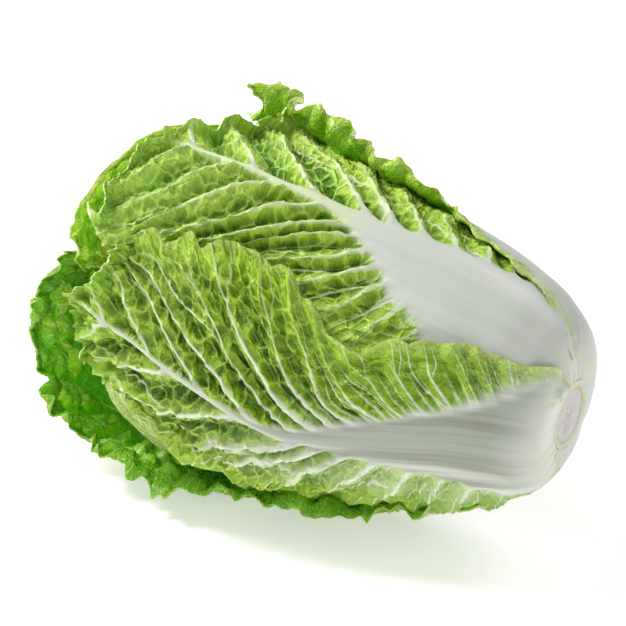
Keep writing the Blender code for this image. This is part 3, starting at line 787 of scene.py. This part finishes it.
# The second back leaf's inner face is painted bright, as painted light shining through it from behind.
secondLook = dict(
    outerLook,
    frill=(0.62, 0.84, 0.1),
    inside=(0.68, 0.92, 0.12),
    insideDeep=(0.48, 0.80, 0.05),
    glow=0.6,
)
backLook = dict(
    outerLook,
    frill=(0.40, 0.68, 0.025),
    rim=(0.58, 0.78, 0.12),
    inside=(0.36, 0.66, 0.03),
    glow=0.4,
)
frontGreen = leafMaterial("front leaf", frontLook)
backGreen = leafMaterial("back leaf", backLook)
secondGreen = leafMaterial("second leaf", secondLook)
topGreen = leafMaterial("top leaf", topLook)
underGreen = leafMaterial("under leaf", underLook)
innerGreen = leafMaterial("inner leaf", innerLook)
print("leaf finishes made")

# How far along the leaf a side vein gets, by where it starts. The long one is for the hood's leaves.
evenFan = [(0, 20), (60, 38), (120, 65), (170, 65), (260, 15)]
hoodFan = [(0, 20), (60, 38), (120, 65), (200, 75), (300, 60), (370, 40)]

# What a leaf is like unless its own settings say otherwise. Of two values the first is for the left
# of the midrib, and lists hold (place along the leaf, value) in millimetres. Without a right side of
# its own a leaf is even, and a rolled margin has (place, width of the strip, degrees it turns).
plain = dict(
    sweep=0.3, longSweep=0.0, blunt=0.0, tipLeft=-0.04,
    nibble=1.2, bite=(1.0, 1.0), lobes=(0.0, 20.0), lobesFrom=40.0,
    stalkFade=1.12, lift=0.0, scrap=(9.0, 0.0, 0.0),
    veinGap=(18.0, 18.0), veinWide=(1.6, 1.6), root=0.6, twig=0.5, ribHigh=0.8,
    baseVeins=1.0, farVeins=0.5, fan=(evenFan, evenFan), comb=(3.0, 3.0), combEnd=(120.0, 120.0),
    deep=0.0, cell=(9.0, 5.5), puff=0.35, blister=(0.0, 0.0),
    ruffle=(0.0, 0.0), frill=(0.0, 0.0), roll=(None, None), flutter=0.3, tipRoll=(1.0, 0.0), crimp=0.0,
    # The last row sets painted colour: how strongly the valleys are painted in shade, how pale the tip
    # and the lower left grow, and how much frill colour shows.
    dark=1.0, paleTip=0.0, paleLeft=0.0, frillShare=1.0,
)

# The front leaf, with the broad stalk along the lower side.
frontLeaf = dict(
    plain, ring="outer", meridian=openEnd, span=(0.5, 244), seed=11, grid=(140, 300),
    mid=[(3, -14), (17, -13), (33, -6), (50, -3), (98, -8), (130, -11), (159, -4), (200, 7), (244, 16)],
    left=[(3, 27), (17, 46), (43, 64), (69, 72), (83, 69), (101, 64), (124, 62), (150, 64), (172, 64),
          (188, 56), (200, 42), (218, 32), (236, 27), (244, 23)],
    right=[(3, 24), (17, 42), (33, 40), (60, 46), (92, 46), (104, 42), (126, 62), (140, 74),
           (164, 71), (186, 60), (218, 42), (236, 31), (244, 26)],
    stalk=[(3, 27), (17, 42), (33, 29), (55, 18), (76, 14), (98, 9), (119, 4), (150, 1.9), (200, 1.2),
           (244, 0.9)],
    thick=8.5, sweep=0.38, longSweep=0.8, lift=1.7, tuck=(-2.0, 1.2), scrap=(8.0, 25.0, 2.8),
    veinGap=(14.0, 11.0), veinWide=(3.0, 1.8), ribHigh=1.5, baseVeins=0.5, farVeins=0.4, comb=(2.0, 3.0),
    fan=([(0, 25), (50, 45), (90, 85), (115, 105), (244, 12)],
         [(0, 38), (50, 48), (85, 66), (115, 108), (244, 12)]),
    pleat=1.4, deep=2.0, puff=2.4, blister=(3.5, 0.0),
    ruffle=(1.5, 3.0), frill=(1.0, 2.2), nibble=1.1, bite=(1.0, 1.2), lobes=(3.0, 17.0),
    tipRoll=(10.0, 50.0), crimp=0.6,
    dark=1.3, paleTip=0.9, paleLeft=0.8, frillShare=0.35,
)
dressLeaf("front_leaf", frontLeaf, frontGreen)

# The leaf on top, with the second broad stalk.
topLeaf = dict(
    plain, ring="outer", meridian=openEnd, span=(0.5, 238), seed=23, grid=(150, 300),
    mid=[(3, 80), (31, 80), (48, 76), (66, 71), (90, 69), (249, 69)],
    left=[(3, 15), (17, 24), (31, 32), (48, 44), (70, 54), (100, 60), (150, 64), (190, 68), (225, 66),
          (240, 60), (254, 40)],
    right=[(3, 12), (17, 18), (31, 24), (60, 40), (100, 58), (150, 68), (190, 72), (205, 66), (225, 48),
           (240, 30), (254, 12)],
    stalk=[(3, 15), (17, 24), (31, 30), (48, 26), (76, 18), (98, 12), (119, 6), (150, 2.4), (200, 1.2),
           (254, 1)],
    stalkLeft=[(3, 15), (17, 24), (31, 36), (48, 46), (70, 42), (98, 25), (119, 12), (135, 5),
               (150, 2.4), (200, 1.2), (254, 1)],
    thick=7.0, sweep=0.42, longSweep=0.8, tipLeft=0.03, lift=-0.8, tuck=(-4.8, -3.4),
    veinGap=(11.0, 14.0), veinWide=(1.5, 3.0), root=0.7, ribHigh=1.8, farVeins=0.4,
    comb=(2.0, 2.0), combEnd=(130.0, 60.0),
    fan=([(0, 35), (50, 58), (80, 86), (108, 118), (254, 10)],
         [(0, 20), (60, 35), (85, 55), (108, 102), (254, 10)]),
    pleat=1.5, deep=3.2, puff=2.2,
    frill=(0.8, 0.8), lobes=(4.0, 23.0),
    roll=(None, [(150, 1, 0), (185, 6, 60), (210, 10, 110), (247, 12, 110)]),
    tipRoll=(13.0, 95.0), crimp=1.4,
    dark=1.4, paleTip=1.0, frillShare=0.6,
)
dressLeaf("top_leaf", topLeaf, topGreen)

# The leaf on the far side, whose frilly margin rolls out along the top.
backLeaf = dict(
    plain, ring="outer", meridian=openEnd, span=(0.5, 256), seed=37, grid=(150, 320),
    mid=[(3, 152), (256, 150)],
    left=[(3, 22), (17, 40), (38, 50), (55, 52), (82, 60), (116, 62), (134, 74), (168, 82), (205, 78),
          (230, 76), (246, 76), (262, 74)],
    right=[(3, 20), (17, 34), (40, 46), (80, 60), (130, 84), (180, 98), (215, 90), (240, 74), (262, 56)],
    stalk=[(3, 22), (17, 34), (33, 32), (60, 24), (98, 13), (119, 6), (150, 2.6), (200, 1.4), (256, 1)],
    stalkLeft=[(3, 22), (17, 39), (38, 48), (60, 50), (90, 46), (116, 30), (140, 12), (170, 4),
               (200, 1.4), (256, 1)],
    thick=8.5, sweep=0.38, lift=0.3, tuck=(-1.8, 0.0),
    veinWide=(2.0, 2.0), ribHigh=1.2,
    pleat=1.2, deep=1.5, puff=1.0,
    ruffle=(1.5, 1.5), frill=(1.5, 1.5), nibble=2.2, lobes=(3.0, 13.0),
    roll=([(50, 2, 0), (80, 3, 50), (130, 8, 95), (180, 19, 112), (225, 24, 112), (242, 24, 108),
           (256, 22, 104)], None),
    tipRoll=(8.0, 25.0), crimp=3.2,
)
dressLeaf("back_leaf", backLeaf, backGreen)

# The leaf underneath, which the head rests on and which arches over the leafy end.
underLeaf = dict(
    plain, ring="outer", meridian=hoodEnd, span=(0.5, 370), seed=41, grid=(140, 300),
    mid=[(3, -124), (17, -121), (40, -112), (80, -102), (120, -98), (300, -93), (335, -84), (370, -70)],
    left=[(3, 20), (17, 32), (40, 44), (80, 58), (130, 75), (180, 90), (230, 90), (262, 80), (290, 72),
          (320, 70), (370, 88)],
    right=[(3, 20), (17, 32), (40, 42), (69, 48), (110, 64), (150, 80), (190, 88), (230, 83), (262, 72),
           (290, 73), (305, 79), (320, 90), (335, 107), (370, 139)],
    stalk=[(3, 20), (17, 32), (33, 32), (60, 22), (98, 13), (130, 6), (170, 3), (230, 1.6), (370, 1)],
    thick=8.5, blunt=1.0, lift=-0.4, tuck=(-3.6, 0.6),
    veinGap=(24.0, 24.0), veinWide=(1.4, 1.4), twig=0.9, ribHigh=1.0, fan=(hoodFan, hoodFan),
    pleat=1.0, deep=0.5, puff=1.0, blister=(6.5, 6.5),
    ruffle=(4.0, 1.0), frill=(1.0, 1.1), nibble=0.7, bite=(1.0, 0.6), lobes=(8.0, 34.0), lobesFrom=215.0,
    roll=(None, [(60, 5, 0), (95, 7, 100), (180, 8, 110), (205, 24, 75), (225, 9, 90), (262, 6, 0)]),
    flutter=0.12, crimp=0.9,
)
dressLeaf("under_leaf", underLeaf, underGreen)

# The leaf behind the outer ones, whose inner face shows at the upper left.
secondBackLeaf = dict(
    plain, ring="second", meridian=innerHoodEnd, span=(15, 360), seed=53, grid=(110, 250),
    mid=[(15, 185), (200, 178), (250, 165), (290, 128), (360, 104)],
    left=[(15, 28), (40, 50), (80, 66), (130, 80), (200, 96), (260, 104), (300, 121), (360, 141)],
    right=[(15, 28), (40, 50), (80, 66), (130, 80), (200, 98), (260, 112), (300, 118), (360, 110)],
    stalk=[(15, 28), (40, 30), (80, 20), (120, 10), (160, 4), (360, 1)],
    thick=7.0, blunt=1.0, tuck=(-1.7, 1.7),
    veinGap=(22.0, 22.0), veinWide=(1.4, 1.4), twig=0.8, fan=(hoodFan, hoodFan),
    pleat=0.4, deep=0.4, puff=0.5, blister=(4.0, 4.0),
    ruffle=(2.5, 2.5), frill=(1.0, 1.0), nibble=2.0, lobes=(3.0, 23.0),
)
dressLeaf("second_back_leaf", secondBackLeaf, secondGreen)

# Two more leaves of the second ring.
secondFrontLeaf = dict(
    plain, ring="second", meridian=closedEnd, span=(15, 262), seed=61, grid=(50, 120),
    mid=[(15, -60), (262, -50)],
    left=[(15, 28), (40, 50), (80, 68), (130, 82), (200, 90), (232, 70), (250, 46), (262, 26)],
    stalk=[(15, 28), (40, 30), (80, 20), (120, 10), (160, 4), (262, 1)],
    thick=7.0, sweep=0.32, tuck=(-1.7, 1.7), pleat=0.4, deep=0.4,
)
dressLeaf("second_front_leaf", secondFrontLeaf, innerGreen)
secondTopLeaf = dict(
    secondFrontLeaf, span=(15, 270), seed=67,
    mid=[(15, 62), (270, 62)],
    left=[(15, 28), (40, 50), (80, 68), (130, 82), (200, 90), (235, 76), (256, 50), (270, 28)],
    stalk=[(15, 28), (40, 30), (80, 20), (120, 10), (160, 4), (270, 1)],
)
dressLeaf("second_top_leaf", secondTopLeaf, innerGreen)

# Three leaves of the third ring stand round the heart, each with its tip at a length of its own.
thirdRing = [
    dict(name="third_front_leaf", around=5, shoulder=285, tip=300, seed=71),
    dict(name="third_top_leaf", around=125, shoulder=285, tip=294, seed=73),
    dict(name="third_under_leaf", around=245, shoulder=282, tip=290, seed=79),
]
for third in thirdRing:
    tip = third["tip"]
    thirdLeaf = dict(
        plain, ring="third", meridian=closedEnd, span=(26, tip), seed=third["seed"], grid=(50, 110),
        mid=[(26, third["around"]), (tip, third["around"])],
        left=[(26, 40), (60, 64), (130, 90), (200, 100), (270, 84), (third["shoulder"], 70), (tip, 50)],
        stalk=[(26, 26), (60, 22), (100, 14), (150, 5), (tip, 1)],
        thick=6.0, sweep=0.26, tuck=(-1.7, 1.7), pleat=0.4, deep=0.3,
    )
    dressLeaf(third["name"], thirdLeaf, innerGreen)


# Turns (along, from the axis) points round the head's axis, and lets shape move the result.
def turnedMesh(name, profile, sides, shape):
    bm = bmesh.new()
    verts = [bm.verts.new((x, 0.0, r)) for x, r in profile]
    edges = [bm.edges.new(pair) for pair in zip(verts, verts[1:])]
    bmesh.ops.spin(bm, geom=verts + edges, cent=(0, 0, 0), axis=(1, 0, 0), angle=fullTurn, steps=sides,
                   use_merge=True)
    bmesh.ops.remove_doubles(bm, verts=bm.verts, dist=1e-4)
    bmesh.ops.recalc_face_normals(bm, faces=bm.faces)
    mesh = meshFrom(bm, name)
    x, y, z = pointsOf(mesh).T
    r, angle = np.hypot(y, z), np.arctan2(z, y)
    x, r = shape(x, r, angle)
    placePoints(mesh, onHead(x, r, angle))
    return mesh


# The cut stem, with a slightly dished face and fibres that end in it.
stemCut = dict(sides=96, faceRings=14, dish=0.7)


def shapeStem(x, r, angle):
    onFace = (x < 0.01).astype(float)
    fibres = softNoise(r / 1.4, angle * 6.0, 91) * 0.35 + softNoise(r / 4.0, angle * 2.0, 92) * 0.4
    dish = stemCut["dish"] * (1.0 - (r / head["cutRadius"]) ** 2)
    x = x + onFace * (dish + np.maximum(fibres, -0.3) * smoothStep(15.8, 12.0, r))
    r = r * (1.0 + 0.02 * softNoise(angle * 2.5, x / 6.0, 93) * (r > 3.0))
    return x, r


def stemMaterial():
    material, shader, wire = newMaterial("cut stem")
    where = wire.node("ShaderNodeTexCoord", outlet=3)  # Object coordinates
    parts = wire.node("ShaderNodeSeparateXYZ", None, {0: where})
    across = parts.outlet(1) / mm
    above = (parts.outlet(2) - baseZ * mm) / mm
    grain = stretchedNoise(where, unstretched, 260.0, 4.0)
    patches = stretchedNoise(where, unstretched, 90.0)
    # Rings from the white pith through a greenish band to the rind.
    wavy = (across * across + above * above) ** 0.5 + (patches - 0.5) * 5.0
    face = blend(grain.between(0.35, 0.7), (0.52, 0.49, 0.47), (0.57, 0.55, 0.53))
    face = blend(wavy.between(11.5, 13.0), face, (0.45, 0.44, 0.18))
    face = blend(wavy.between(13.2, 14.6), face, (0.52, 0.54, 0.44))
    wire.feed(shader.inputs["Base Color"], face)
    dent(wire, shader, grain + patches, strength=0.6)
    wire.feed(shader.inputs["Roughness"], 0.5 + (grain - 0.5) * 0.3)
    letLightIn(shader, 0.15)
    return material


cutFace = [(0.0, head["cutRadius"] * i / stemCut["faceRings"]) for i in range(stemCut["faceRings"] + 1)]
stemSide = [(2, 16.5), (4, 16.6), (6, 16.7), (8, 16.8), (10, 16.9), (12.5, 21), (17, 21.6), (21.5, 22),
            (21.5, 0)]
stemMesh = turnedMesh("stem", cutFace + stemSide, stemCut["sides"], shapeStem)
finishMesh("stem", stemMesh, stemMaterial())
print("stem dressed with", len(stemMesh.polygons), "faces")

# The heart, whose small leaves overlap in a spiral, each with its outer margin over the next.
heartLook = dict(
    sides=160, rows=90, start=22.0, pathFrom=30.0, pathShort=22.0, folds=5, foldDepth=0.13, spiral=110.0
)


def shapeHeart(x, r, angle):
    wavy = 0.08 * softNoise(x / 9.0, 0.0, 96)
    layer = (heartLook["folds"] * angle / fullTurn + x / heartLook["spiral"] + wavy) % 1.0
    r = r * (1.0 - heartLook["foldDepth"] * layer**1.5 * smoothStep(30.0, 90.0, x))
    puffed = smoothStep(0.0, 0.6, cellNet(angle * 7.0, x / 8.0, 95))
    r = r + (1.2 * puffed - 0.9) * smoothStep(2.0, 12.0, r)
    return x, r


def heartMaterial():
    material, shader, wire = newMaterial("heart leaves")
    where = wire.node("ShaderNodeTexCoord", outlet=3)  # Object coordinates
    patches = stretchedNoise(where, (1.0, 3.0, 3.0), 30.0)
    grain = stretchedNoise(where, unstretched, 220.0)
    scaled = dict(operation="SCALE")
    shift = wire.node("ShaderNodeVectorMath", scaled, {0: patches.outlet(1), 3: 8.0 * mm})
    warped = moved(where, shift)
    borders = dict(feature="DISTANCE_TO_EDGE")
    veins = wire.node("ShaderNodeTexVoronoi", borders, {"Vector": warped, "Scale": 110.0})
    veinLine = veins.between(0.08, 0.03)
    colour = blend(patches.between(0.35, 0.7), (0.80, 0.90, 0.30), (0.52, 0.76, 0.12))
    colour = blend(grain.between(0.5, 0.8) * 0.5, colour, (0.92, 0.91, 0.72))
    colour = blend(veinLine * 0.8, colour, (0.95, 0.95, 0.78))
    wire.feed(shader.inputs["Base Color"], colour)
    dent(wire, shader, grain + patches + veinLine)
    wire.feed(shader.inputs["Roughness"], 0.45 + (grain - 0.5) * 0.2)
    letLightIn(shader, 0.1)
    return material


heartPath = Path(closedEnd)
heartEnd = heartPath.length - heartLook["pathShort"]
heartPlaces = np.linspace(heartLook["pathFrom"], heartEnd, heartLook["rows"])
heartX, heartR = heartPath.at(heartPlaces, -ringDepth("heart", heartPlaces))
heartSide = [(x, r) for x, r in zip(heartX, heartR) if r > 1.0 and x > heartLook["start"]]
heartProfile = [(heartLook["start"], 0), (heartLook["start"], 0.8 * heartSide[0][1])] + heartSide
heartProfile = heartProfile + [(heartSide[-1][0] + 2.0, 0)]
heartMesh = turnedMesh("heart", heartProfile, heartLook["sides"], shapeHeart)
finishMesh("heart", heartMesh, heartMaterial())
print("heart dressed with", len(heartMesh.polygons), "faces")

# The room: a pale floor, soft light from above and from the left, and the camera.
room = dict(
    floorSize=30.0, floorTone=(0.92, 0.895, 0.925), floorGlow=0.43, skyTone=1.0, skyStrength=0.36
)
floorBm = bmesh.new()
bmesh.ops.create_grid(floorBm, x_segments=1, y_segments=1, size=room["floorSize"] / 2)
floorMesh = meshFrom(floorBm, "floor")
floorMaterial, floorShader, _ = newMaterial("floor")
floorShader.inputs["Base Color"].default_value = (*room["floorTone"], 1.0)
floorShader.inputs["Roughness"].default_value = 0.9
floorShader.inputs["Specular IOR Level"].default_value = 0.0
floorShader.inputs["Emission Color"].default_value = (1.0, 1.0, 1.0, 1.0)
floorShader.inputs["Emission Strength"].default_value = room["floorGlow"]
floorMesh.materials.append(floorMaterial)
floor = addObject("floor", floorMesh)

world = bpy.data.worlds.new("sky")
bpy.context.scene.world = world
world.use_nodes = True
sky = world.node_tree.nodes["Background"]
sky.inputs[0].default_value = (room["skyTone"],) * 3 + (1.0,)
sky.inputs[1].default_value = room["skyStrength"]

lights = [
    dict(name="key", place=(-0.8, -0.4, 1.35), size=0.5, power=22.0),
    dict(name="side", place=(1.3, -0.8, 0.9), size=0.8, power=3.0),
    dict(name="fill", place=(-0.1, -1.4, 0.5), size=0.9, power=2.0),
    dict(name="rim", place=(0.5, 1.3, 1.2), size=0.8, power=8.0),
    dict(name="leafy end", place=(-1.4, 0.3, 0.7), size=0.6, power=10.0),
]
middle = Vector((0.0, 0.0, 0.09))
for light in lights:
    lamp = bpy.data.lights.new(light["name"], "AREA")
    lamp.size = light["size"]
    lamp.energy = light["power"]
    lampObject = addObject(light["name"], lamp)
    lampObject.location = light["place"]
    lampObject.rotation_euler = (middle - Vector(light["place"])).to_track_quat("-Z", "Y").to_euler()

# The camera looks at a point ahead of the head's foot and above it. Lengths here are in metres.
shot = dict(azimuth=33.0, elevation=21.0, lens=85.0, away=0.721, ahead=0.137, above=0.02)
turned, raised = math.radians(shot["azimuth"]), math.radians(shot["elevation"])
flat = math.cos(raised)
back = Vector((math.sin(turned) * flat, -math.cos(turned) * flat, math.sin(raised)))
aim = Vector((baseX * mm - shot["ahead"], 0.0, baseZ * mm + shot["above"]))
cameraData = bpy.data.cameras.new("camera")
cameraData.lens = shot["lens"]
cameraData.sensor_width = 36.0
camera = addObject("camera", cameraData)
camera.location = aim + back * shot["away"]
camera.rotation_euler = (-back).to_track_quat("-Z", "Y").to_euler()
bpy.context.scene.camera = camera
bpy.context.scene.view_settings.view_transform = "Standard"
print("room, lights and camera set")
